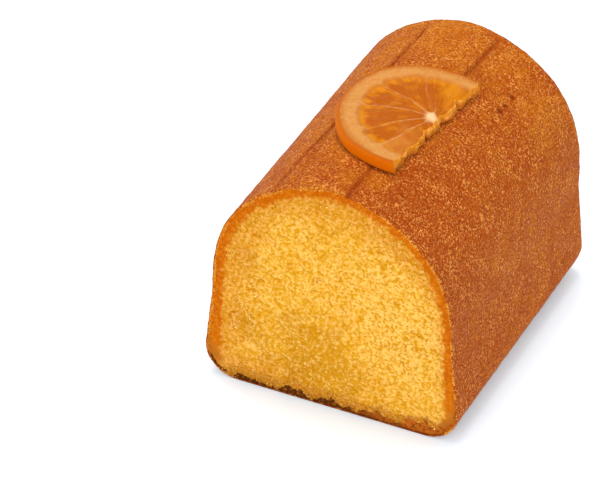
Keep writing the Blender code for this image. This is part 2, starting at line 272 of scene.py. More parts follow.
class CakeColours(bpy.types.PropertyGroup):
    """Colours, linear."""

    crust: colour(0.395, 0.067, 0.004, "Crust", "Reddish brown of the crust")
    crust_orange: colour(0.515, 0.14, 0.005, "Crust orange", "More orange patches of the crust")
    crust_dark: colour(0.25, 0.033, 0.003, "Crust dark", "Dark specks and creases")
    # Pale flecks; on the crust partly painted highlight where thin bubble rims catch the light
    crust_fleck: colour(0.82, 0.315, 0.065, "Crust flecks", "Pale flecks of the crust")
    crumb: colour(0.66, 0.312, 0.0145, "Crumb", "Golden crumb")
    # On the cut face crumb_pale is painted highlight on the granules' tops; on loose crumbs it is a plain
    # pale tone
    crumb_pale: colour(0.89, 0.535, 0.145, "Crumb pale", "Pale tops of the granules")
    # Painted shade in the pores, in the gaps between granules and in the deep patches of the cut face
    crumb_deep_shade: colour(0.56, 0.222, 0.001, "Crumb deep", "Deep yellow in the pores")
    crumb_tan: colour(0.66, 0.25, 0.02, "Crumb tan", "Tan crumb at the torn lower edge")
    crumb_shade: colour(0.86, 0.72, 0.62, "Crumb shade", "Share of the crumb's colour left near the crust")
    deep_shade: colour(0.87, 0.87, 0.80, "Deep shade", "Share of the crumb's colour left in its hollows")
    band: colour(0.46, 0.092, 0.0005, "Band", "Dark orange band under the crust")
    band_low: colour(0.55, 0.135, 0.0007, "Band low", "Brighter orange of the band low on the sides")
    band_grain: colour(0.64, 0.20, 0.003, "Band grain", "Lighter granules in the band")
    lip: colour(0.70, 0.24, 0.018, "Lip", "Orange brown granules on the cut edge of the crust")
    # Browner crumb above the base crust, partly painted shade between the crumbs there
    singed_and_shaded: colour(0.38, 0.12, 0.011, "Singed", "Browner crumb just above the base crust")
    base: colour(0.085, 0.022, 0.004, "Base crust", "Dark brown base crust")
    base_right: colour(0.43, 0.105, 0.009, "Base crust right", "Lighter base crust at the right corner")
    flesh: colour(0.42, 0.092, 0.003, "Flesh", "Deep orange brown flesh")
    flesh_bright: colour(0.62, 0.205, 0.004, "Flesh bright", "Yellow orange edges of the flesh")
    flesh_peach: colour(0.57, 0.20, 0.028, "Flesh peach", "Paler peach flesh")
    torn: colour(0.80, 0.335, 0.055, "Torn flesh", "Pale lumps on the torn straight edge")
    membrane: colour(0.63, 0.30, 0.10, "Membrane", "Membranes between the segments")
    pith: colour(0.48, 0.162, 0.026, "Pith", "Beige orange pith")
    pith_pale: colour(0.58, 0.25, 0.06, "Pith pale", "Paler inner pith")
    core: colour(0.87, 0.57, 0.29, "Core", "Cream core")
    rind: colour(0.60, 0.125, 0.0005, "Rind", "Saturated orange of the rind")
    rind_line: colour(0.47, 0.105, 0.006, "Rind line", "Dark orange top edge of the rind")
    floor: colour(0.89, 0.935, 0.98, "Floor", "Pale floor")
    floor_glow: colour(0.07, 0.135, 0.165, "Floor glow", "Faint glow that keeps the floor neutral")


class StageSizes(bpy.types.PropertyGroup):
    """Camera and lights."""

    azimuth: degrees(25.855, "Camera turn", "How far the camera stands round the cake from its front")
    elevation: degrees(37.122, "Camera height angle", "How far the camera looks down")
    roll: degrees(0.919, "Camera roll", "Turn of the camera about its line of sight")
    distance: length(1058.9, "Camera distance", "Distance from the camera to the point it looks at")
    aim: FloatVectorProperty(
        name="Aim", description="Point that the camera looks at", default=mm(-26.70, -21.06, 34.28),
        subtype="XYZ", unit="LENGTH", precision=5,
    )
    lens: amount(192.0, "Lens", "Focal length on a 36 mm sensor")
    world: amount(0.9, "World", "Strength of the white surroundings")
    key: amount(6.0, "Key", "Power of the key light")
    fill: amount(7.0, "Fill", "Power of the fill light")
    floor_radius: length(4000.0, "Floor radius", "Radius of the floor")


def smooth_step(low, high, value):
    """0 below low, 1 above high, and a cubic between them."""
    part = np.clip((value - low) / (high - low), 0.0, 1.0)
    return part * part * (3.0 - 2.0 * part)


def ripples(place, waves):
    """Sum of sine waves, each given by its height, waves per metre times two pi, and phase."""
    return sum(high * np.sin(often * place + phase) for high, often, phase in waves)


def falloff(distance, width):
    """1 at no distance, falling off as a bell whose half width is that width."""
    return np.exp(-((distance / width) ** 2))


def swells(u, v, waves):
    """Sum of products of two slanting sine waves over a surface with the coordinates u and v."""
    total = 0.0
    for high, first, second in waves:
        crossing = np.sin(second[0] * u + second[1] * v + second[2])
        total = total + high * np.sin(first[0] * u + first[1] * v + first[2]) * crossing
    return total


def lattice_value(cell, seed):
    """A number from 0 to 1 for each whole-number point: its coordinates are multiplied by large odd numbers
    and folded together."""
    mixed = cell[..., 0] * 73856093 ^ cell[..., 1] * 19349663 ^ cell[..., 2] * 83492791
    mixed = (mixed ^ seed * 974634777) & 0xFFFFFFFF
    mixed = (mixed ^ mixed >> 15) * 739982445 & 0xFFFFFFFF
    mixed = (mixed ^ mixed >> 12) * 695872825 & 0xFFFFFFFF
    return ((mixed ^ mixed >> 15) & 0xFFFFFF) / 0x1000000


def cloud(points, size, seed):
    """Smooth noise from -1 to 1: random values on a lattice of that size, eased between its corners."""
    place = points / size
    cell = np.floor(place).astype(np.int64)
    part = place - cell
    ease = part * part * (3.0 - 2.0 * part)
    total = 0.0
    for corner in np.ndindex(2, 2, 2):
        weight = np.prod(np.where(corner, ease, 1.0 - ease), axis=-1)
        total = total + weight * lattice_value(cell + np.array(corner), seed)
    return 2.0 * total - 1.0


def clouds(points, size, seed, octaves=3, gain=0.5):
    """Sum of clouds, each half the size and gain times the height of the one before."""
    return sum(gain**n * cloud(points, size / 2**n, seed + n) for n in range(octaves))


def layered(points, layers, start=0.0):
    """Sum of clouds, each given by its height, size and seed, on top of a start."""
    return sum((height * cloud(points, size, seed) for height, size, seed in layers), start)


def near_cells(points, size, seed):
    """The lattice cells round the points, and the way to each point from the one random point in each cell,
    over the cell's size."""
    place = points / size
    cell = np.floor(place).astype(np.int64)
    for step in np.ndindex(3, 3, 3):
        corner = cell + np.array(step) - 1
        jitter = np.stack([lattice_value(corner, seed + axis) for axis in range(3)], -1)
        yield corner, place - corner - jitter


def lumps(points, size, seed):
    """Distance to the nearest cell's random point, over the cell's size, and that cell's own number."""
    nearest = np.full(len(points), np.inf)
    number = np.zeros(len(points))
    for corner, way in near_cells(points, size, seed):
        away = np.linalg.norm(way, axis=-1)
        closer = away < nearest
        number = np.where(closer, lattice_value(corner, seed + 5), number)
        nearest = np.where(closer, away, nearest)
    return nearest, number


def bubbles(points, spacing, small, large, share, seed):
    """Depth of round bubbles that the plane y = 0 cuts open: a bubble of radius r whose centre is c behind
    it, and d off to the side, is c + sqrt(r * r - d * d) deep. One bubble in each lattice cell, and only
    that share of them."""
    depth = np.zeros(len(points))
    for corner, way in near_cells(points, spacing, seed):
        away = way * spacing
        radius = small + (large - small) * lattice_value(corner, seed + 3) ** 2
        radius = np.where(lattice_value(corner, seed + 4) < share, radius, 0.0)
        side = away[:, 0] ** 2 + away[:, 2] ** 2
        reach = np.sqrt((radius**2 - side).clip(0.0))
        depth = np.maximum(depth, np.where(np.abs(away[:, 1]) < reach, reach - away[:, 1], 0.0))
    return depth


class Section:
    """The loaf's closed section by distance along it, from the middle of the base round by +X."""

    STEPS = 120

    def __init__(self, loaf):
        self.loaf = loaf
        x, z, self.marks = self.half_line()
        self.x = np.concatenate([x, -x[-2::-1]])
        self.z = np.concatenate([z, z[-2::-1]])
        step = np.hypot(np.diff(self.x), np.diff(self.z))
        self.distance = np.concatenate([[0.0], np.cumsum(step)])
        self.total = self.distance[-1]
        self.crown = len(x) - 1

    def half_line(self):
        """Base, round corner, a straight side that leans in, and the superellipse arch up to the crown."""
        loaf = self.loaf
        foot = (loaf.shoulder_height - loaf.arch_foot) / (loaf.height - loaf.arch_foot)
        rise = foot + (1.0 - foot) * np.sin(np.linspace(0.0, math.pi / 2, 4 * self.STEPS))
        arch_x = (1.0 - rise**loaf.arch_top_power).clip(0.0) ** (1.0 / loaf.arch_side_power)
        arch_x = loaf.arch_half_width * arch_x
        arch_z = loaf.arch_foot + (loaf.height - loaf.arch_foot) * rise
        corner_x, corner_z = loaf.half_width - loaf.corner_radius, loaf.corner_radius
        way_x, way_z = arch_x[0] - corner_x, arch_z[0] - corner_z
        lean = math.atan2(way_z, way_x) - math.acos(loaf.corner_radius / math.hypot(way_x, way_z))
        turn = np.linspace(-math.pi / 2, lean, self.STEPS)
        base_x = np.linspace(0.0, corner_x, self.STEPS)[:-1]
        side = np.linspace(0.0, 1.0, self.STEPS)[1:-1]
        round_x = corner_x + loaf.corner_radius * np.cos(turn)
        round_z = corner_z + loaf.corner_radius * np.sin(turn)
        side_x = round_x[-1] + (arch_x[0] - round_x[-1]) * side
        side_z = round_z[-1] + (arch_z[0] - round_z[-1]) * side
        marks = (len(base_x), len(base_x) + len(turn) - 1, len(base_x) + len(turn) + len(side))
        x = np.concatenate([base_x, round_x, side_x, arch_x])
        return x, np.concatenate([base_x * 0.0, round_z, side_z, arch_z]), marks

    def point(self, s):
        """Place across and up at a distance along the section."""
        s = np.mod(s, self.total)
        return np.interp(s, self.distance, self.x), np.interp(s, self.distance, self.z)

    def normal(self, s):
        """Outward normal: the direction along the line, over a short reach, turned by a right angle."""
        x0, z0 = self.point(s - 1.0 * MM)
        x1, z1 = self.point(s + 1.0 * MM)
        size = np.hypot(x1 - x0, z1 - z0)
        return (z1 - z0) / size, (x0 - x1) / size

    def along_at(self, x):
        """Distance along the section where the arch is at this x."""
        first = self.marks[2]
        last = 2 * self.crown - first + 1
        return np.interp(-x, -self.x[first:last], self.distance[first:last])

    def growth(self, y):
        """The loaf widens and rises a little towards its far end."""
        return 1.0 + self.loaf.far_end_growth * np.clip(y / self.loaf.length, 0.0, 1.0)

    def crease(self, middle, drift, y):
        """A crease swings from one side of its middle to the other, as half a cosine."""
        return middle - drift * np.cos(math.pi * np.clip(y / self.loaf.length, 0.0, 1.0))

    def cut_plane(self, x, z):
        """Depth of the knife's cut at a point of the section."""
        return x * math.tan(self.loaf.cut_across) + z * math.tan(self.loaf.cut_up)


def crust_marks(section, s, y):
    """The raised band between the creases, and for each crease the distance from it and how much it counts
    there. All fade down the sides and before the far edge. A faint third crease runs apart from the left
    one towards the cut."""
    crust = bpy.context.scene.cake_crust
    x, z = section.point(s)
    left = section.crease(crust.left_middle, crust.left_drift, y)
    right = section.crease(crust.right_middle, crust.right_drift, y)
    shoulder = crust.band_shoulder
    band = smooth_step(left - shoulder, left, x) * (1.0 - smooth_step(right, right + shoulder, x))
    far = section.loaf.length - section.loaf.far_edge_radius
    on_top = smooth_step(0.6, 0.75, z / section.loaf.height)
    on_top = on_top * (1.0 - smooth_step(far - 5.0 * MM, far, y))
    apart = 1.0 - y / crust.branch_length
    branch = left + crust.branch_spread * apart
    creases = ((left, on_top), (right, on_top), (branch, crust.branch_share * on_top * (apart > 0.0)))
    return band * on_top, [(s - section.along_at(place), weight) for place, weight in creases]


def bell(x, y, zone):
    """1 at the middle of a zone, given by its place and radius, and falling off round it."""
    at_x, at_y, radius = zone
    return np.exp(-(((x - at_x) ** 2 + (y - at_y) ** 2) / radius**2))


def dents(x, y):
    """Depth of the dents, each a round hollow."""
    return sum(deep * bell(x, y, zone) for *zone, deep in DENTS)


def crust_relief(section, s, y, wander):
    """How far the crust stands out: the raised band, the creases, the dents and slow swells. The creases
    wander a little from their lines."""
    crust = bpy.context.scene.cake_crust
    band, creases = crust_marks(section, s, y)
    width = crust.crease_half_width
    groove = sum(weight * falloff(off + wander, width) for off, weight in creases)
    x, z = section.point(s)
    sunk = crust.unevenness * smooth_step(0.0, section.loaf.corner_radius, z)
    sunk = sunk * (SWELLS_PEAK - crust.swell_share * swells(s, y, CRUST_SWELLS))
    dented = dents(x, y) * (z > section.loaf.centre_height)
    return crust.band_rise * band - crust.crease_depth * groove - sunk - dented


def crust_points(section, s, y, inset=0.0):
    """Points of the crust, moved in by inset and grown with the loaf, in the loaf's own place."""
    x, z = section.point(s)
    nx, nz = section.normal(s)
    wander = layered(np.stack([x, y, z], -1), CREASE_WANDER)
    out = crust_relief(section, s, y, wander) - inset
    grow = section.growth(y)
    return np.stack([(x + nx * out) * grow, y, (z + nz * out).clip(0.0) * grow], -1)


def crust_grain(points, z):
    """Fine grain and small pits of the crust as a height, and where the pits are."""
    crust = bpy.context.scene.cake_crust
    grain = crust.grain * clouds(points, 2.2 * MM, 21, octaves=2, gain=0.7)
    nearest, number = lumps(points, 4.5 * MM, 31)
    pit = (1.0 - nearest / (0.1 + 0.12 * number)).clip(0.0) * (number > 0.55)
    above_base = smooth_step(0.0, 2.0 * MM, z)
    return above_base * (grain - crust.pit_depth * np.sqrt(pit)), pit


def loaf_origin(section):
    """The loaf's own place, the middle of the knife's plane at the base, as the CAD box gives it."""
    return np.array([(LOAF_LOW.x + LOAF_HIGH.x) / 2, LOAF_HIGH.y - section.loaf.length, LOAF_LOW.z])


def grid_faces(index):
    """Four-cornered faces over an array of point numbers. They face along first times second direction."""
    return np.stack([index[:-1, :-1], index[1:, :-1], index[1:, 1:], index[:-1, 1:]], -1).reshape(-1, 4)


def fan_faces(loop, centre):
    """Triangles from each edge of a closed loop of point numbers to a centre."""
    return np.stack([loop, np.roll(loop, -1), np.full(len(loop), centre)], -1)


def make_piece(name, points, faces, material, attributes=None):
    """A mesh object from points and arrays of faces, with its material and its point attributes. Points
    that come after an attribute's last value get 0."""
    mesh = bpy.data.meshes.new(name)
    mesh.from_pydata(points.tolist(), [], [face for group in faces for face in group.tolist()])
    mesh.materials.append(material)
    for key, values in (attributes or {}).items():
        padded = np.zeros(len(points), np.float32)
        padded[: len(values)] = values
        mesh.attributes.new(key, "FLOAT", "POINT").data.foreach_set("value", padded)
    mesh.shade_smooth()
    mesh.update()
    piece = bpy.data.objects.new(name, mesh)
    bpy.context.scene.collection.objects.link(piece)
    return piece


def finish_piece(piece, slot, *nodes):
    """The piece rides on the cake and stands for CAD nodes, which are hidden. Its slot is not used."""
    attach(piece, "root")
    if nodes:
        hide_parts(*nodes)


class Wire:
    """A shader socket. Arithmetic on wires and numbers adds Math nodes."""

    def __init__(self, tree, socket=None):
        self.tree = tree
        self.socket = socket

    def node(self, kind, settings=None, inputs=None, output=0):
        """Adds a node: its settings first, then numbers, colours or links for its sockets."""
        made = self.tree.nodes.new(kind)
        for key, value in (settings or {}).items():
            setattr(made, key, value)
        for key, value in (inputs or {}).items():
            if isinstance(value, Wire):
                self.tree.links.new(value.socket, made.inputs[key])
            else:
                made.inputs[key].default_value = value
        return Wire(self.tree, made.outputs[output])

    def maths(self, operation, first, second=0.0, clamp=False):
        """One Math node."""
        settings = {"operation": operation, "use_clamp": clamp}
        return self.node("ShaderNodeMath", settings, {0: first, 1: second})

    def __add__(self, other):
        return self.maths("ADD", self, other)

    def __radd__(self, other):
        return self.maths("ADD", other, self)

    def __sub__(self, other):
        return self.maths("SUBTRACT", self, other)

    def __rsub__(self, other):
        return self.maths("SUBTRACT", other, self)

    def __mul__(self, other):
        return self.maths("MULTIPLY", self, other)

    def __rmul__(self, other):
        return self.maths("MULTIPLY", other, self)

    def __abs__(self):
        return self.maths("ABSOLUTE", self)

    def clip(self):
        """Kept from 0 to 1."""
        return self.maths("ADD", self, 0.0, clamp=True)

    def step(self, low, high):
        """0 at low, 1 at high, and eased between them."""
        settings = {"interpolation_type": "SMOOTHSTEP"}
        return self.node("ShaderNodeMapRange", settings, {0: self, 1: low, 2: high})

    def mix(self, low, high, kind="MIX"):
        """Colour low where this is 0 and high where it is 1."""
        settings = {"data_type": "RGBA", "blend_type": kind}
        inputs = {0: self}
        for key, value in ((6, low), (7, high)):
            inputs[key] = value if isinstance(value, Wire) else (*value, 1.0)
        return self.node("ShaderNodeMix", settings, inputs, 2)

    def place(self):
        """Place on the object, in its own coordinates."""
        return self.node("ShaderNodeTexCoord", output=3)

    def axis(self, place, number):
        """One coordinate of a place."""
        return self.node("ShaderNodeSeparateXYZ", None, {0: place}, number)

    def attribute(self, name):
        """One of the piece's point attributes."""
        return self.node("ShaderNodeAttribute", {"attribute_name": name}, output=2)

    def stretched(self, place, *shares):
        """The place with its coordinates multiplied: a pattern is drawn out where a share is small."""
        return self.node("ShaderNodeVectorMath", {"operation": "MULTIPLY"}, {0: place, 1: shares})

    def noise(self, place, size, detail=2.0, roughness=0.5, distortion=0.0):
        """Noise from 0 to 1 whose features are about that many millimetres in size."""
        inputs = {"Vector": place, "Scale": 1.0 / (size * MM), "Detail": detail, "Roughness": roughness}
        return self.node("ShaderNodeTexNoise", None, {**inputs, "Distortion": distortion})

    def bump(self, height, distance, strength):
        """A normal for fine relief."""
        inputs = {"Strength": strength, "Distance": distance, "Height": height}
        return self.node("ShaderNodeBump", None, inputs)


def new_finish(name, **constants):
    """A material with a Principled shader. Gives the material, a wire to start from, and its setter."""
    material = bpy.data.materials.new(name)
    material.use_nodes = True
    tree = material.node_tree
    shader = tree.nodes["Principled BSDF"]
    for key, value in constants.items():
        shader.inputs[key.replace("_", " ")].default_value = value

    def connect(socket, wire):
        tree.links.new(wire.socket, shader.inputs[socket])

    return material, Wire(tree), connect


def crust_finish(name="browned_crust"):
    """Reddish brown, more orange on top and in patches and slow bands, with dark specks, and short pale
    curls and dots where thin bubbles have set, thicker at the cut edge; the pale flecks are partly painted
    highlight where the bubble rims catch the light. Right of the crown it is redder, and painted darker as
    the half-slice's shadow. The left flank is painted darker as shade, overall and in streaks, and creases,
    pits and the foot of the loaf are darker."""
    tint = bpy.context.scene.cake_colours
    material, wire, connect = new_finish(name, Specular_IOR_Level=0.025)
    place = wire.place()
    across, along, height = (wire.axis(place, number) for number in range(3))
    upright = wire.stretched(place, 1.0, 1.0, 0.12)
    bands = wire.noise(upright, 7)
    broad = wire.noise(place, 15)
    patch = wire.noise(place, 3.0, 3.0, 0.6).step(0.36, 0.64)
    edge = wire.attribute("edge")
    top = height.step(45 * MM, 88 * MM)
    front = 1.0 - along.step(-52 * MM, 0.0)
    # Painted shade: the left flank is painted darker, here and in streaks below, where it faces away from
    # the light
    left = 1.0 - across.step(-42 * MM, -14 * MM)
    far = along.step(10 * MM, 35 * MM)
    # Redder right of the crown; the same mask also paints the half-slice's shadow darker below
    right = across.step(8 * MM, 18 * MM) * top * (1.0 - 0.8 * far)
    shade = 0.6 * top - 0.4 * front - 0.2 * left - 0.7 * right - 0.08
    shade = shade + 2.1 * (broad - 0.5) + 1.1 * (bands - 0.5) + 0.5 * patch
    base = shade.clip().mix(tint.crust, tint.crust_orange)
    speck = wire.noise(place, 0.85, 2.0, 0.6).step(0.47, 0.62)
    # The right mask darkens the crust here as painted shadow of the half-slice
    base = (0.62 * speck + 0.1 * front + 0.15 * right).mix(base, tint.crust_dark)
    combed = wire.stretched(place, 1.0, 0.12, 1.0)
    streak = wire.noise(combed, 0.9).step(0.42, 0.6)
    # Painted shade on the left flank, in streaks
    base = (0.5 * left * streak).mix(base, tint.crust_dark)
    # Pale curls and dots, partly paler crust and partly painted highlight where thin bubble rims catch the
    # light
    curl = (1.0 - abs(wire.noise(place, 1.6, 1.0, 0.5, 1.0) - 0.5) * 12.0).clip()
    bits = wire.noise(place, 0.95, 1.0).step(0.49, 0.58)
    dots = wire.noise(place, 0.62, 1.0).step(0.57, 0.66)
    thick = wire.noise(place, 8).step(0.36, 0.62)
    fleck = ((curl * bits + dots) * (0.5 + 0.5 * thick + 0.3 * edge)).clip()
    base = (0.9 * fleck).mix(base, tint.crust_fleck)
    crease = (wire.attribute("crease") * (0.6 + 0.6 * patch)).clip()
    base = (0.85 * crease).mix(base, tint.crust_dark)
    pit = wire.attribute("pit")
    base = pit.mix(base, tint.crust_dark)
    base = (0.3 * pit * pit).mix(base, tint.base)
    low = 1.0 - (height + 3.0 * MM * patch).step(1.5 * MM, 6.0 * MM)
    base = (0.55 * low).mix(base, tint.base)
    connect("Base Color", base)
    connect("Roughness", 0.50 + 0.2 * patch)
    connect("Normal", wire.bump(fleck + 0.5 * patch - 0.8 * speck, 0.2 * MM, 0.7))
    return material


class CrustOperator(bpy.types.Operator):
    """The crust: rings round the loaf from a recess behind the cut face, over the lip, along the arch and
    round the far edge to the middle of the far end."""

    bl_idname = "cake.crust"
    bl_label = "Crust"

    def columns(self, section):
        """Distances along the section: coarse over the flat base, fine over the corners, sides and arch."""
        grid = section.loaf.grid
        first = section.distance[section.marks[0]]
        base = np.linspace(0.0, first, round(first / (3 * grid)))
        over = np.linspace(first, section.total - first, round((section.total - 2 * first) / grid))
        return np.concatenate([base[:-1], over[:-1], section.total - base[::-1][:-1]])

    def rings(self, section, s):
        """Points of all rings, front to back: out of the recess, over the rounded lip, along the loaf,
        round the far edge and in to the middle of the far end."""
        loaf, crust = section.loaf, bpy.context.scene.cake_crust
        cut = section.cut_plane(*section.point(s))

        def edge_ring(inset, deep):
            ring = crust_points(section, s, 0.0 * s, inset)
            ring[:, 1] = cut + deep
            return ring

        half = crust.lip_width / 2
        rings = [edge_ring(crust.lip_width, deep) for deep in (crust.lip_depth, RECESS_START)]
        for turn in np.linspace(0.0, math.pi, LIP_RINGS):
            inset = half + half * math.cos(turn)
            rings.append(edge_ring(inset, crust.lip_round * (1.0 - math.sin(turn))))
        end = loaf.length - loaf.far_edge_radius
        for t in np.linspace(0.0, 1.0, round(end / loaf.grid))[1:]:
            rings.append(crust_points(section, s, (cut + crust.lip_round) * (1.0 - t) + end * t))
        for turn in np.linspace(0.0, math.pi / 2, EDGE_RINGS)[1:]:
            y = end + loaf.far_edge_radius * math.sin(turn)
            inset = loaf.far_edge_radius * (1.0 - math.cos(turn))
            rings.append(crust_points(section, s, y + 0.0 * s, inset))
        centre = np.array([0.0, loaf.length, loaf.centre_height])
        rings += [centre + (rings[-1] - centre) * part for part in np.linspace(1.0, 0.03, END_RINGS)[1:]]
        return np.stack(rings, 1)

    def execute(self, context):
        section = Section(context.scene.cake_loaf)
        s = self.columns(section)
        points = self.rings(section, s)
        shape = points.shape[:2]
        flat = points.reshape(-1, 3)
        across = np.roll(points, -1, axis=0) - np.roll(points, 1, axis=0)
        along = np.gradient(points, axis=1)
        normal = np.cross(along, across).reshape(-1, 3)
        normal /= np.linalg.norm(normal, axis=1)[:, None].clip(1e-12)
        grain, pit = crust_grain(flat, flat[:, 2])
        outer = np.tile(np.arange(shape[1]) >= SMOOTH_RINGS, shape[0])
        flat = flat + normal * (grain * outer)[:, None]
        flat[:, 2] = flat[:, 2].clip(0.0)
        crease = 0.0
        for off, weight in crust_marks(section, np.repeat(s, shape[1]), flat[:, 1])[1]:
            dark = 0.45 * falloff(off, CREASE_SOFT) + 0.55 * falloff(off, CREASE_SHARP)
            crease = crease + weight * dark
        dent = (dents(flat[:, 0], flat[:, 1]) / (0.5 * MM) - 0.45).clip(0.0, 1.0)
        pit = np.maximum(0.55 * pit, dent * (flat[:, 2] > section.loaf.centre_height))
        index = np.arange(len(flat)).reshape(shape)
        front = np.array([[0.0, context.scene.cake_crust.lip_depth, section.loaf.centre_height]])
        back = np.array([[0.0, section.loaf.length, section.loaf.centre_height]])
        flat = np.concatenate([flat, front, back]) + loaf_origin(section)
        faces = [grid_faces(np.concatenate([index, index[:1]]).T)]
        faces += [fan_faces(index[:, 0], len(flat) - 2), fan_faces(index[::-1, -1], len(flat) - 1)]
        knife = np.repeat(section.cut_plane(*section.point(s)), shape[1])
        behind = flat[:-2, 1] - loaf_origin(section)[1] - knife
        edge = 1.0 - smooth_step(0.5 * MM, 4.0 * MM, behind)
        marks = {"crease": crease, "pit": pit, "edge": edge}
        piece = make_piece("crust", flat, faces, crust_finish(), marks)
        finish_piece(piece, "browned_crust", "loaf")
        return {"FINISHED"}


def outline_distance(points, outline):
    """Distance in the section's plane from each point to the closed outline, worked out in blocks."""
    start, step = outline, np.roll(outline, -1, axis=0) - outline
    squares = (step**2).sum(1)
    nearest = []
    for block in np.array_split(points, max(1, len(points) // 4000)):
        gap = block[:, None] - start
        part = ((gap * step).sum(-1) / squares).clip(0.0, 1.0)
        nearest.append(np.linalg.norm(gap - part[..., None] * step, axis=-1).min(1))
    return np.concatenate(nearest)


def section_patch(section, spacing, inset):
    """An even net over the section: four stretches of the outline, and between them each point is the sum
    of the two blends of facing stretches less the blend of the four corners."""
    marks = section.distance[section.marks[0]], section.distance[section.marks[1]]
    low = (marks[0] + marks[1]) / 2
    high = section.along_at(0.82 * section.loaf.arch_half_width)
    wide = round((section.total - 2 * high) / spacing)
    tall = round((high - low) / spacing)

    def stretch(first, last, count):
        return crust_points(section, np.linspace(first, last, count), np.zeros(count), inset)[:, [0, 2]]

    bottom = stretch(-low, low, wide)
    right = stretch(low, high, tall)
    top = stretch(section.total - high, high, wide)
    left = stretch(section.total - low, section.total - high, tall)
    u = np.linspace(0.0, 1.0, wide)[:, None, None]
    v = np.linspace(0.0, 1.0, tall)[None, :, None]
    net = (1 - v) * bottom[:, None] + v * top[:, None] + (1 - u) * left[None] + u * right[None]
    low_corners = (1 - u) * (1 - v) * bottom[0] + u * (1 - v) * bottom[-1]
    return net - (low_corners + (1 - u) * v * top[0] + u * v * top[-1])


def skin_width(x):
    """The browned skin seen at the cut narrows from the left to the right."""
    return bpy.context.scene.cake_crumb.skin_width * (1.0 - 0.75 * smooth_step(-12.0 * MM, 14.0 * MM, x))


def crumb_surface(section, x, z, inset):
    """Depth of the torn crumb behind the knife's plane, and the marks that its finish reads. The depth is
    slow swells and clouds less the granules, and deeper at pores and torn holes. It is calmer in the dark
    band under the crust, and the base crust is set back below a ragged edge."""
    crumb = bpy.context.scene.cake_crumb
    flat = np.stack([x, 0.0 * x, z], -1)
    warp = np.stack([cloud(flat, 1.7 * MM, 41), 0.0 * x, cloud(flat, 1.7 * MM, 42)], -1)
    bent = flat + 0.35 * MM * warp
    wavy = layered(flat, BAND_WAVER)
    leftward = smooth_step(-5.0 * MM, 35.0 * MM, -x)
    upward = smooth_step(14.0 * MM, 45.0 * MM, z)
    skin_wide = skin_width(x)
    wide = skin_wide + crumb.band_width + crumb.band_growth * (1.0 - upward)
    band = 1.0 - smooth_step(wide - 1.4 * MM, wide + 1.4 * MM, inset + wavy)
    band = band * smooth_step(0.3 * MM, 3.0 * MM, z - inset) * smooth_step(2.5 * MM, 9.0 * MM, z)
    skin = 1.0 - smooth_step(skin_wide - 0.2 * MM, skin_wide + 0.2 * MM, inset + 0.6 * wavy)
    rightward = smooth_step(10.0 * MM, 38.0 * MM, x)
    edge = crumb.base_thickness * (1.0 + ripples(x, RAGGED_EDGE) + crumb.base_right_growth * rightward)
    edge = layered(flat, BASE_WAVER, edge).clip(0.8 * MM)
    low = np.minimum(z, inset + 0.3 * z)
    base = 1.0 - smooth_step(0.7 * edge, 1.0 * edge, low)
    # Zone just above the base crust: browner crumb, partly painted shade
    singed_and_shaded = 1.0 - smooth_step(0.8 * edge, 0.8 * edge + 4.5 * MM, low)
    nearest, number = lumps(bent, crumb.granule, 61)
    granule = (1.0 - nearest**2).clip(-0.6) * (0.6 + 0.8 * number)
    pore = bubbles(bent, crumb.pore_spacing, 0.12 * MM, crumb.pore_radius, 0.9, 71)
    hole = bubbles(bent + 0.5 * MM * warp, crumb.hole_spacing, 0.3 * MM, crumb.hole_radius, 0.6, 81)
    pit = 0.5 * np.maximum(pore, hole)
    fine = 0.04 * MM * clouds(flat, 0.8 * MM, 91, octaves=2)
    raised = crumb.granule_rise * granule
    torn = crumb.setback + crumb.roughness * swells(x, z, CRUMB_SWELLS) - raised
    torn = torn + 0.2 * MM * clouds(flat, 4.5 * MM, 97, octaves=2)
    depth = (1.0 - band) * (torn + pit) + band * (0.15 * pit + 0.35 * MM * (1.0 - skin) - 0.5 * raised)
    behind = crumb.base_setback + 0.3 * pore + 0.12 * MM * clouds(flat, 2.0 * MM, 95, octaves=2)
    depth = depth * (1.0 - base) + base * (behind - 0.4 * raised) + fine
    # Painted light less painted shade: the cut face is painted lighter in one zone and deeper in another
    light = bell(x, z, PAINTED_LIGHT_ZONE) - bell(x, z, PAINTED_SHADE_ZONE)
    reach = 7.0 * MM + 10.0 * MM * np.maximum(leftward, smooth_step(50.0 * MM, 80.0 * MM, z))
    tan = 1.0 - smooth_step(0.2 * reach, 1.3 * reach, inset)
    marks = {"inset": inset / (10.0 * MM), "band": band, "skin": skin, "base": base, "singed_and_shaded": singed_and_shaded}
    return depth, {**marks, "pore": pit / MM, "granule": granule, "light": light, "tan": tan}


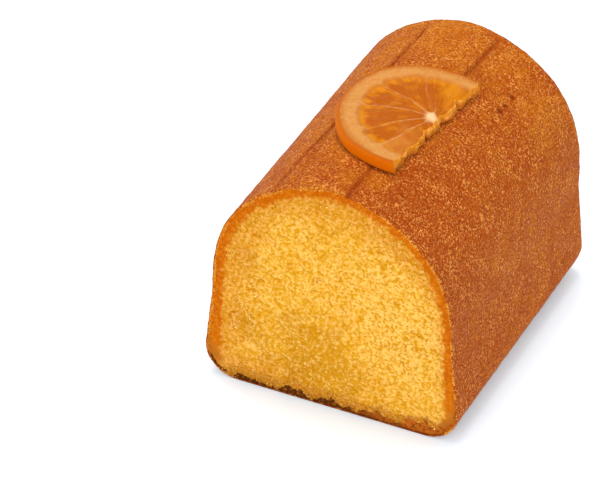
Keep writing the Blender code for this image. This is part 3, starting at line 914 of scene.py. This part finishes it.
def crumb_finish(name="golden_crumb"):
    """Golden crumb, deeper in random patches, with painted shade in its pores and in the gaps between its
    granules, and painted highlight on the granules' tops. One zone is painted lighter and another deeper,
    as painted light and shade. It is tan towards the crust, with a dark orange band under the crust,
    browner just above the base crust, there partly as painted shade between the crumbs, and brown where
    that shows."""
    tint = bpy.context.scene.cake_colours
    material, wire, connect = new_finish(name, **CRUMB_SHADER)
    place = wire.place()
    grain = wire.noise(place, 1.0, 2.0, 0.55)
    clump = wire.noise(place, 2.6)
    cloudy = wire.noise(place, 10.0)
    granule, light = wire.attribute("granule"), wire.attribute("light")
    # Random deeper patches, with the painted shade zone added and the painted light zone taken off
    deep_patch_and_shade = (1.5 * (cloudy - 0.5) + 0.7 * (clump - 0.5) - light).step(0.0, 0.8)
    base = (0.65 * deep_patch_and_shade).mix(tint.crumb, tint.crumb_deep_shade)
    # Painted highlight: paler on the raised tops of the granules, and in the painted light zone
    top = 0.45 * granule + 1.8 * (grain - 0.5) + 0.9 * (clump - 0.5) + 0.15 * light - 0.14
    base = (0.75 * top.step(-0.1, 0.65)).mix(base, tint.crumb_pale)
    # Painted shade: deeper in the gaps between granules and in the pores
    gap = 1.0 - (0.8 * granule + 1.8 * (grain - 0.5)).step(0.0, 0.5)
    base = (0.85 * gap).mix(base, tint.crumb_deep_shade)
    base = (0.8 * (wire.attribute("pore") * 4.0).clip()).mix(base, tint.crumb_deep_shade)
    tan = (wire.attribute("tan") + 1.0 * (cloudy - 0.5) + 0.6 * (clump - 0.5)).clip()
    base = tan.mix(base, tint.crumb_shade, "MULTIPLY")
    base = deep_patch_and_shade.mix(base, tint.deep_shade, "MULTIPLY")
    wavy = wire.noise(place, 1.4) - 0.5
    band = (wire.attribute("band") + 0.4 * wavy).step(-0.05, 0.95)
    height = wire.axis(place, 2)
    low = 1.0 - height.step(4 * MM, 26 * MM)
    orange = low.mix(tint.band, tint.band_low)
    orange = (0.5 * (granule + 1.5 * (grain - 0.5)).step(0.5, 1.1)).mix(orange, tint.band_grain)
    corner = 1.0 - (height + 12.0 * MM * wavy).step(5.0 * MM, 16.0 * MM)
    orange = (0.8 * corner * (0.4 + 1.6 * grain)).clip().mix(orange, tint.singed_and_shaded)
    base = (0.97 * band).mix(base, orange)
    skin = wire.noise(place, 0.7).step(0.45, 0.62).mix(tint.crust_orange, tint.lip)
    base = wire.attribute("skin").mix(base, skin)
    right = (wire.axis(place, 0) + 14 * MM * wavy).step(4 * MM, 26 * MM)
    brown = right.mix(tint.base, tint.base_right)
    brown = (0.5 * grain.step(0.5, 0.64)).mix(brown, tint.crust_orange)
    brown = (0.6 * wire.noise(place, 1.2).step(0.5, 0.6)).mix(brown, tint.base)
    # Partly browner crumb and partly painted shade between the crumbs just above the base crust
    singed_and_shaded = (wire.attribute("singed_and_shaded") + 1.4 * (grain - 0.5)).step(0.15, 1.0)
    base = (0.85 * singed_and_shaded).mix(base, tint.singed_and_shaded)
    base = wire.attribute("base").mix(base, brown)
    connect("Base Color", base)
    connect("Normal", wire.bump(grain, 0.4 * MM, 0.75))
    return material


class CrumbOperator(bpy.types.Operator):
    """The cut face: a net over the section whose depth is the torn crumb, closed behind as a thin slab."""

    bl_idname = "cake.crumb"
    bl_label = "Crumb"

    def execute(self, context):
        section = Section(context.scene.cake_loaf)
        crust = context.scene.cake_crust
        net = section_patch(section, context.scene.cake_crumb.grid, crust.lip_width)
        x, z = net[..., 0].ravel(), net[..., 1].ravel()
        s = np.linspace(0.0, section.total, 500)[:-1]
        outline = crust_points(section, s, 0.0 * s)[:, [0, 2]]
        inset = outline_distance(net.reshape(-1, 2), outline)
        depth, marks = crumb_surface(section, x, z, inset)
        front = np.stack([x, section.cut_plane(x, z) + depth, z], -1)
        index = np.arange(len(front)).reshape(net.shape[:2])
        loop = np.concatenate([index[:-1, 0], index[-1, :-1], index[:0:-1, -1], index[0, :0:-1]])
        behind = front[loop]
        behind[:, 1] = section.cut_plane(behind[:, 0], behind[:, 2]) + SLAB_SHARE * crust.lip_depth
        middle = behind.mean(axis=0)
        points = np.concatenate([front, behind, [middle]]) + loaf_origin(section)
        back = len(front) + np.arange(len(loop))
        walls = grid_faces(np.stack([np.append(back, back[0]), np.append(loop, loop[0])], 1))
        faces = [grid_faces(index), walls, fan_faces(back[::-1], len(points) - 1)]
        piece = make_piece("crumb", points, faces, crumb_finish(), marks)
        finish_piece(piece, "browned_crust", "loaf")
        return {"FINISHED"}


def icosahedron():
    """Twelve corners of three golden rectangles, and the twenty triangles between neighbours."""
    golden = (1 + math.sqrt(5)) / 2
    corners = np.array([(0, a, b * golden) for a in (-1, 1) for b in (-1, 1)], float)
    corners = np.concatenate([np.roll(corners, turn, axis=1) for turn in range(3)]) / math.hypot(1, golden)
    near = np.linalg.norm(corners[:, None] - corners, axis=-1) < 1.1
    faces = [(i, j, k) for i in range(12) for j in range(i) for k in range(j)
             if near[i, j] and near[j, k] and near[i, k]]
    outward = [np.linalg.det(corners[list(face)]) > 0 for face in faces]
    return corners, np.array([face if out else face[::-1] for face, out in zip(faces, outward)])


class LooseCrumbsOperator(bpy.types.Operator):
    """Loose crumbs on the cut face, along its torn lower edge and on the lip: knobbly grains of twenty
    sides."""

    bl_idname = "cake.loose_crumbs"
    bl_label = "Loose crumbs"

    def face_places(self, crumb, random):
        """Some points of the cut face, and some of its torn lower edge."""
        mesh = bpy.data.objects["crumb"].data
        co = np.zeros(3 * len(mesh.vertices), np.float32)
        mesh.vertices.foreach_get("co", co)
        marks = np.zeros((4, len(mesh.vertices)), np.float32)
        for values, key in zip(marks, ("band", "base", "pore", "inset")):
            mesh.attributes[key].data.foreach_get("value", values)
        band, base, pore, inset = marks
        across, _, height = co.reshape(-1, 3).T
        free = (band < 0.5) & (pore < 0.1) & (base < 0.6) & (inset > 0.02)
        lower = (height < 6.5 * MM) & (base > 0.02) & (base < 0.8)
        lower |= free & (height < 5.5 * MM)
        lower &= np.abs(across) < 37.0 * MM
        face = random.choice(np.flatnonzero(free), crumb.face_count, replace=False)
        torn = random.choice(np.flatnonzero(lower), crumb.lower_count, replace=False)
        return co.reshape(-1, 3)[face], co.reshape(-1, 3)[torn]

    def lip_places(self, section, count, random):
        """Points in clusters on the cut edge of the crust, above the base."""
        first = section.distance[section.marks[0]]
        s = random.uniform(first, section.total - first, 8 * count)
        clustered = cloud(np.stack([s, 0.0 * s, 0.0 * s], -1), 3.0 * MM, 181)
        s = s[clustered > random.uniform(-0.2, 0.9, len(s))][:count]
        inset = random.uniform(0.1, 1.1, len(s)) * (skin_width(section.point(s)[0]) + 0.3 * MM)
        places = crust_points(section, s, 0.0 * s, inset)
        places[:, 1] = section.cut_plane(places[:, 0], places[:, 2])
        places[:, 1] += random.uniform(0.0, 0.2 * MM, len(s))
        return places + loaf_origin(section)

    def execute(self, context):
        crumb = context.scene.cake_crumb
        random = np.random.default_rng(7)
        section = Section(context.scene.cake_loaf)
        face, torn = self.face_places(crumb, random)
        lip = self.lip_places(section, crumb.lip_count, random)
        centres = np.concatenate([face, torn, lip])
        count, counts = len(centres), np.array([len(face), len(torn), len(lip)])
        corners, faces = icosahedron()
        largest = crumb.loose_radius * np.repeat([0.85, 1.1, 0.8], counts)
        radius = largest * (0.4 + 0.6 * random.random(count) ** 2)
        knobs = 1.0 + 0.3 * random.uniform(-1, 1, (count, len(corners)))
        stretch = random.uniform(0.7, 1.3, (count, 3))
        axes = np.linalg.qr(random.normal(size=(count, 3, 3)))[0]
        axes = axes * np.sign(np.linalg.det(axes))[:, None, None]
        grains = corners[None] * knobs[..., None] * stretch[:, None] * radius[:, None, None]
        grains = np.einsum("cik,ckj->cij", grains, axes) + centres[:, None]
        numbers = faces[None] + len(corners) * np.arange(count)[:, None, None]
        marks = {"tone": np.repeat(random.random(count), len(corners))}
        marks["browned"] = np.repeat([0.0, 0.0, 1.0], counts * len(corners))
        marks["torn"] = np.repeat([0.0, 1.0, 0.0], counts * len(corners))
        points, triangles = grains.reshape(-1, 3), [numbers.reshape(-1, 3)]
        piece = make_piece("loose_crumbs", points, triangles, loose_finish(), marks)
        finish_piece(piece, "browned_crust")
        return {"FINISHED"}


def loose_finish(name="loose_crumb"):
    """Golden to pale grains, each with its own tone, tan and browner ones low on the torn edge, and orange
    brown ones on the lip."""
    tint = bpy.context.scene.cake_colours
    material, wire, connect = new_finish(name, **CRUMB_SHADER)
    tone = wire.attribute("tone")
    base = tone.step(0.45, 1.0).mix(tint.crumb, tint.crumb_pale)
    base = (0.7 * (1.0 - tone.step(0.05, 0.45))).mix(base, tint.crumb_tan)
    brown = tone.step(0.3, 0.9).mix(tint.lip, tint.crust_fleck)
    base = wire.attribute("browned").mix(base, brown)
    low = 1.0 - (wire.axis(wire.place(), 2) + 3.0 * MM * tone).step(2.0 * MM, 7.0 * MM)
    # The lowest torn crumbs take the singed colour: browner, and partly painted shade
    base = (0.85 * wire.attribute("torn")).mix(base, low.mix(tint.crumb_tan, tint.singed_and_shaded))
    connect("Base Color", base)
    connect("Normal", wire.bump(wire.noise(wire.place(), 0.3), 0.1 * MM, 0.6))
    return material


def slice_radius(size, angle):
    """Outline radius of the half-slice about its middle."""
    radius = size.mean_radius
    for order, (even, odd) in enumerate(SLICE_WAVES, start=1):
        radius = radius + even * np.cos(order * angle) + odd * np.sin(order * angle)
    return radius


def slice_outline(size, count):
    """The closed outline at even steps: round the rim from the far tip to the near one, and back along the
    chord. A short running mean rounds the two tips. The third value is 1 on the chord and 0 on the rim."""
    angle = np.linspace(math.radians(-12), math.radians(192), 4000)
    a, b = slice_radius(size, angle) * np.sin(angle), slice_radius(size, angle) * np.cos(angle)
    rim = np.stack([a, b], 1)[a >= -size.chord_offset]
    chord = np.linspace(rim[-1], rim[0], 2000)[1:-1]
    line = np.concatenate([rim, chord, rim[:1]])
    on_chord = np.concatenate([np.zeros(len(rim)), np.ones(len(chord)), [0.0]])
    along = np.concatenate([[0.0], np.cumsum(np.linalg.norm(np.diff(line, axis=0), axis=1))])
    even = np.linspace(0.0, along[-1], count + 1)[:-1]
    line = np.stack([np.interp(even, along, value) for value in (*line.T, on_chord)], 1)
    kernel = range(-2, 3)
    return sum(np.roll(line, shift, axis=0) for shift in kernel) / len(kernel)


def torn_edge(size, a, b, lift):
    """Moves points near the chord in and out, as if the slice were torn there, with some deeper notches."""
    near = 1.0 - smooth_step(-size.chord_offset, size.tooth_reach, a)
    flat = np.stack([0.0 * a, b, 0.8 * lift], -1)
    shift = size.tooth * (layered(flat, TEETH) + 0.2)
    for place, width, depth in NOTCHES:
        shift = shift + depth * falloff(b - place, width)
    return a + shift * near


def slice_top(size, a, b):
    """Thickness of the half-slice over its underside: full at rind and pith, sunken at the flesh, with
    raised membranes and core and small juice sacs. Also the marks that its finish reads."""
    angle = np.arctan2(a, b)
    angle = angle + 2 * math.pi * (angle < -1.0)
    part = np.hypot(a, b) / slice_radius(size, angle)
    out, along = a - size.core_out, b - size.core_along
    reach, turn = np.hypot(out, along), np.arctan2(out, along)
    flat = np.stack([a, b, 0.0 * a], -1)
    sway = 0.5 * MM * cloud(flat, 5.0 * MM, 111)
    membrane, scallop = 0.0 * a, 0.0 * a
    for towards, share, plain in MEMBRANES:
        off = turn - math.radians(towards)
        side = np.where(np.cos(off) > 0, np.abs(reach * np.sin(off) + sway), 1.0)
        inner = 1.0 - smooth_step(0.8 * share - 0.05, 0.8 * share + 0.05, part)
        membrane = np.maximum(membrane, plain * inner * falloff(side, MEMBRANE_WIDTH))
        scallop = np.maximum(scallop, falloff(side, SCALLOP_WIDTH) * (share == 1.0))
    edge = size.flesh_edge + 0.03 * np.cos(angle) ** 2 - 0.045 * scallop
    edge = edge + 0.012 * cloud(flat, 2.2 * MM, 121)
    flesh = 1.0 - smooth_step(edge - 0.045, edge + 0.03, part)
    blotch = reach + 1.1 * MM * cloud(flat, 1.7 * MM, 131)
    core = 1.0 - smooth_step(0.3 * size.core_radius, 1.1 * size.core_radius, blotch)
    sacs = np.stack([reach / (2.6 * MM), turn / 0.075 + 0.3 * np.sin(reach / (1.5 * MM)), 0.0 * a], -1)
    nearest = lumps(sacs, 1.0, 141)[0]
    lift = size.thickness - flesh * (size.dip - size.core_rise * core)
    lift = lift + flesh * (0.25 * MM * membrane + 0.16 * MM * (1.0 - core) * (0.5 - nearest))
    lift = lift + 0.05 * MM * clouds(flat, 1.5 * MM, 151, octaves=2)
    streaks = np.stack([reach / (5.0 * MM), turn / 0.09, 0.0 * a], -1)
    fibre = 0.5 + 0.5 * clouds(streaks, 1.0, 171, octaves=3, gain=0.7)
    rim = flesh * smooth_step(edge - 0.13, edge - 0.02, part + 0.04 * (fibre - 0.5))
    near_end = smooth_step(4.0 * MM, 13.0 * MM, -b) * (1.0 - smooth_step(4.0 * MM, 9.0 * MM, a))
    far_end = smooth_step(7.0 * MM, 15.0 * MM, b) * (1.0 - smooth_step(3.0 * MM, 9.0 * MM, a))
    marks = {"flesh": flesh, "membrane": membrane * flesh, "core": core, "part": part}
    return lift, {**marks, "fibre": fibre, "bright": np.maximum(rim, flesh * far_end), "peach": near_end}


def slice_place(section, size, a, b, lift):
    """Place of a point of the half-slice, a away from its chord, b along it, and lift above its underside.
    The underside lies on the raised band, and its rind side stands off the falling arch."""
    loaf, crust = section.loaf, bpy.context.scene.cake_crust
    x = size.middle_x - a * math.cos(size.turn) + b * math.sin(size.turn)
    y = size.middle_y + a * math.sin(size.turn) + b * math.cos(size.turn)
    grow = section.growth(y)
    across = (np.abs(x / grow) / loaf.arch_half_width).clip(0.0, 1.0) ** loaf.arch_side_power
    arch = loaf.arch_foot + (loaf.height - loaf.arch_foot) * (1.0 - across) ** (1.0 / loaf.arch_top_power)
    band = crust.band_rise * (1.0 - smooth_step(9.0 * MM, 16.0 * MM, x))
    seat = arch * grow + band + 0.1 * MM + size.standoff * smooth_step(0.0, size.reach, -x)
    return np.stack([x, y, seat + lift], -1)


class OrangeOperator(bpy.types.Operator):
    """The candied orange half-slice: rings from the middle of its underside up its rim and over its top."""

    bl_idname = "cake.candied_orange"
    bl_label = "Candied orange"

    def rings(self, size):
        """Each ring's distance in from the outline, as a share of the way to the centre and as a length,
        how high it is on the wall from 0 to 1, and whether it belongs to the wall."""
        deep, low, high = size.rim_round, RIM_SHARE, 1.0 - RIM_SHARE
        rings = [(share, deep, 0.0, 0.0) for share in np.linspace(0.97, 0.0, 14)]
        for turn in np.linspace(0.0, math.pi / 2, 5)[1:]:
            rings.append((0.0, deep * (1 - math.sin(turn)), low * (1 - math.cos(turn)), 1.0))
        rings += [(0.0, 0.0, up, 1.0) for up in np.linspace(low, high, 12)[1:-1]]
        for turn in np.linspace(0.0, math.pi / 2, 6):
            rings.append((0.0, deep * (1 - math.cos(turn)), high + low * math.sin(turn), 1.0))
        rings += [(share, deep, 1.0, 0.0) for share in np.linspace(0.0, 0.985, 90)[1:]]
        return np.array(rings)

    def execute(self, context):
        section, size = Section(context.scene.cake_loaf), context.scene.cake_slice
        outline = slice_outline(size, 520)
        centre = np.array(SLICE_CENTRE)
        share, inset, height, wall = self.rings(size).T
        spoke = outline[:, None, :2] - centre
        long = np.linalg.norm(spoke, axis=-1)
        place = centre + spoke * ((1.0 - share) * (1.0 - inset / long))[..., None]
        a, b = place[..., 0].ravel(), place[..., 1].ravel()
        top, marks = slice_top(size, a, b)
        lift = (top.reshape(long.shape[0], -1) * height).ravel()
        a = torn_edge(size, a, b, lift)
        on_chord = np.repeat(outline[:, 2], len(share))
        walls = np.tile(wall * np.sin(math.pi * height.clip(0.0, 1.0)), len(outline))
        a = a + on_chord * walls * layered(np.stack([a, b, 1.3 * lift], -1), TORN_WALL)
        bulge = (1.0 - on_chord) * walls * 0.25 * MM
        out = np.stack([a, b], -1) - centre
        out /= np.linalg.norm(out, axis=-1)[:, None]
        points = slice_place(section, size, a + out[:, 0] * bulge, b + out[:, 1] * bulge, lift)
        index = np.arange(len(points)).reshape(len(outline), -1)
        poles = points.reshape(*index.shape, 3)[:, [0, -1]].mean(axis=0)
        points = np.concatenate([points, poles]) + loaf_origin(section)
        faces = [grid_faces(np.concatenate([index, index[:1]])[::-1])]
        faces += [fan_faces(index[::-1, 0], len(points) - 2), fan_faces(index[:, -1], len(points) - 1)]
        high = np.tile(height, len(outline))
        marks["rind"] = (1.0 - on_chord) * (np.tile(wall, len(outline)) + (high == 0.0)).clip(0.0, 1.0)
        marks["high"] = high
        marks["torn"] = on_chord * np.tile(wall, len(outline))
        piece = make_piece("candied_orange", points, faces, orange_finish(), marks)
        finish_piece(piece, "candied_orange", "candied_orange_half")
        return {"FINISHED"}


def orange_finish(name="candied_orange"):
    """Clear sticky flesh with radial fibres, bright edges, a paler near end and pale membranes, a cream
    core, mottled beige pith, paler at the near end as painted light where it slopes away from the light,
    pale lumps on the torn edge, and a saturated rind whose top edge is darker."""
    tint = bpy.context.scene.cake_colours
    material, wire, connect = new_finish(
        name, IOR=1.45, Specular_IOR_Level=0.03, Subsurface_Weight=0.3, Subsurface_Scale=0.0012,
        Coat_Roughness=0.1,
    )
    place = wire.place()
    names = ("flesh", "membrane", "core", "part", "high", "rind", "torn", "fibre", "bright", "peach")
    marks = (wire.attribute(key) for key in names)
    flesh, membrane, core, part, high, rind, torn, fibre, bright, peach = marks
    cloudy = wire.noise(place, 5.0, 3.0)
    pulp = (0.8 * bright + 0.7 * (fibre - 0.5) + 1.5 * (cloudy - 0.5)).clip()
    meat = pulp.mix(tint.flesh, tint.flesh_bright)
    pale = (0.6 * peach + 1.8 * (cloudy - 0.56)).clip()
    meat = pale.mix(meat, tint.flesh_peach)
    white = part.step(0.96, 0.88).mix(tint.pith, tint.pith_pale)
    white = (0.6 * wire.noise(place, 2.5).step(0.45, 0.7)).mix(white, tint.pith)
    # Painted light: the pith is paler at the near end, where it slopes away from the light
    white = peach.mix(white, tint.pith_pale)
    mottle = wire.noise(place, 1.3, 3.0, 0.6)
    white = (0.5 * mottle.step(0.5, 0.66)).mix(white, tint.membrane)
    white = (0.35 * (1.0 - mottle.step(0.36, 0.48))).mix(white, tint.flesh_bright)
    base = flesh.mix(white, meat)
    plain = 0.35 + 2.0 * (wire.noise(place, 2.0) - 0.4)
    base = (membrane * plain).clip().mix(base, tint.membrane)
    base = (0.9 * core).mix(base, tint.core)
    lobe = wire.noise(place, 1.4).step(0.42, 0.68).mix(tint.flesh_bright, tint.torn)
    lobe = (0.7 * (1.0 - high.step(0.25, 0.85))).mix(lobe, tint.flesh)
    base = (0.95 * torn).mix(base, lobe)
    skin = high.step(0.88, 0.99).mix(tint.rind, tint.rind_line)
    edge = (rind + part.step(0.945, 0.978) * (1.0 - torn)).clip()
    base = edge.mix(base, skin)
    connect("Base Color", base)
    connect("Roughness", 0.45 - 0.2 * flesh + 0.35 * rind)
    grain = wire.noise(place, 0.9)
    wet = (flesh + torn).clip() * grain.step(0.55, 0.66)
    connect("Coat Weight", 0.01 + 0.35 * wet)
    connect("Normal", wire.bump(grain + 0.8 * fibre * flesh, 0.14 * MM, 0.6))
    return material


def camera_matrix(stage):
    """The camera stands off from its aim in the direction given by its turn and height angle, looks back
    along it, and is rolled about it."""
    turn, height = stage.azimuth, stage.elevation
    level = math.cos(height)
    back = Vector((math.sin(turn) * level, -math.cos(turn) * level, math.sin(height)))
    right = (-back).cross(Vector((0, 0, 1))).normalized()
    up = right.cross(-back)
    roll = Matrix.Rotation(stage.roll, 3, back)
    axes = Matrix((roll @ right, roll @ up, back)).transposed().to_4x4()
    return Matrix.Translation(Vector(stage.aim) + back * stage.distance) @ axes


class StageOperator(bpy.types.Operator):
    """Floor, surroundings, soft lights and camera."""

    bl_idname = "cake.stage"
    bl_label = "Stage"

    def execute(self, context):
        stage = context.scene.cake_stage
        self.floor(stage)
        self.surroundings(context.scene, stage)
        self.soft_light("key", stage.key, *KEY_LIGHT)
        self.soft_light("fill", stage.fill, *FILL_LIGHT)
        data = bpy.data.cameras.new("camera")
        data.lens = stage.lens
        data.sensor_width = SENSOR_WIDTH
        data.clip_end = VIEW_END
        camera = bpy.data.objects.new("camera", data)
        camera.matrix_world = camera_matrix(stage)
        context.scene.collection.objects.link(camera)
        context.scene.camera = camera
        context.scene.view_settings.view_transform = "Standard"
        return {"FINISHED"}

    def floor(self, stage):
        """A round floor a hair under the cake."""
        turn = np.linspace(0.0, 2 * math.pi, FLOOR_CORNERS + 1)[:-1]
        rim = stage.floor_radius * np.stack([np.cos(turn), np.sin(turn), 0 * turn], -1)
        points = np.concatenate([rim, [[0.0, 0.0, 0.0]]]) - [0.0, 0.0, FLOOR_GAP]
        tint = bpy.context.scene.cake_colours
        material, wire, connect = new_finish(
            "pale_floor", Roughness=0.9, Emission_Color=(*tint.floor_glow, 1.0), Emission_Strength=1.0
        )
        lighter = [min(1.0, 1.02 * part) for part in tint.floor]
        connect("Base Color", wire.noise(wire.place(), 50).mix(tint.floor, lighter))
        make_piece("floor", points, [fan_faces(np.arange(len(rim)), len(rim))], material)

    def surroundings(self, scene, stage):
        """Even white light from all round."""
        world = bpy.data.worlds.new("surroundings")
        world.use_nodes = True
        background = world.node_tree.nodes["Background"]
        background.inputs["Color"].default_value = (1.0, 1.0, 1.0, 1.0)
        background.inputs["Strength"].default_value = stage.world
        scene.world = world

    def soft_light(self, name, power, place, size):
        """A square soft light that faces the cake."""
        data = bpy.data.lights.new(name, "AREA")
        data.energy = power
        data.size = size
        light = bpy.data.objects.new(name, data)
        place = Vector(place)
        turn = (Vector(LIT_POINT) - place).to_track_quat("-Z", "Y").to_matrix().to_4x4()
        light.matrix_world = Matrix.Translation(place) @ turn
        bpy.context.scene.collection.objects.link(light)


class CakePanel(bpy.types.Panel):
    """Lists the cake's sizes, colours and pieces."""

    bl_idname = "CAKE_PT_build"
    bl_label = "Orange loaf cake"
    bl_space_type = "VIEW_3D"
    bl_region_type = "UI"
    bl_category = "Cake"

    def draw(self, context):
        for operator in OPERATORS:
            self.layout.operator(operator.bl_idname)
        for key, group in GROUPS.items():
            box = self.layout.box()
            box.label(text=group.__doc__)
            for name in group.__annotations__:
                box.prop(getattr(context.scene, key), name)


GROUPS = {
    "cake_loaf": LoafSizes,
    "cake_crust": CrustSizes,
    "cake_crumb": CrumbSizes,
    "cake_slice": SliceSizes,
    "cake_colours": CakeColours,
    "cake_stage": StageSizes,
}
OPERATORS = (CrustOperator, CrumbOperator, LooseCrumbsOperator, OrangeOperator, StageOperator)


def register():
    for group in (*GROUPS.values(), *OPERATORS, CakePanel):
        bpy.utils.register_class(group)
    for key, group in GROUPS.items():
        setattr(bpy.types.Scene, key, PointerProperty(type=group))


def unregister():
    for key in GROUPS:
        delattr(bpy.types.Scene, key)
    for group in reversed((*GROUPS.values(), *OPERATORS, CakePanel)):
        bpy.utils.unregister_class(group)


def main():
    register()
    bpy.ops.cake.crust()
    bpy.ops.cake.crumb()
    bpy.ops.cake.loose_crumbs()
    bpy.ops.cake.candied_orange()
    bpy.ops.cake.stage()


if __name__ == "__main__":
    main()
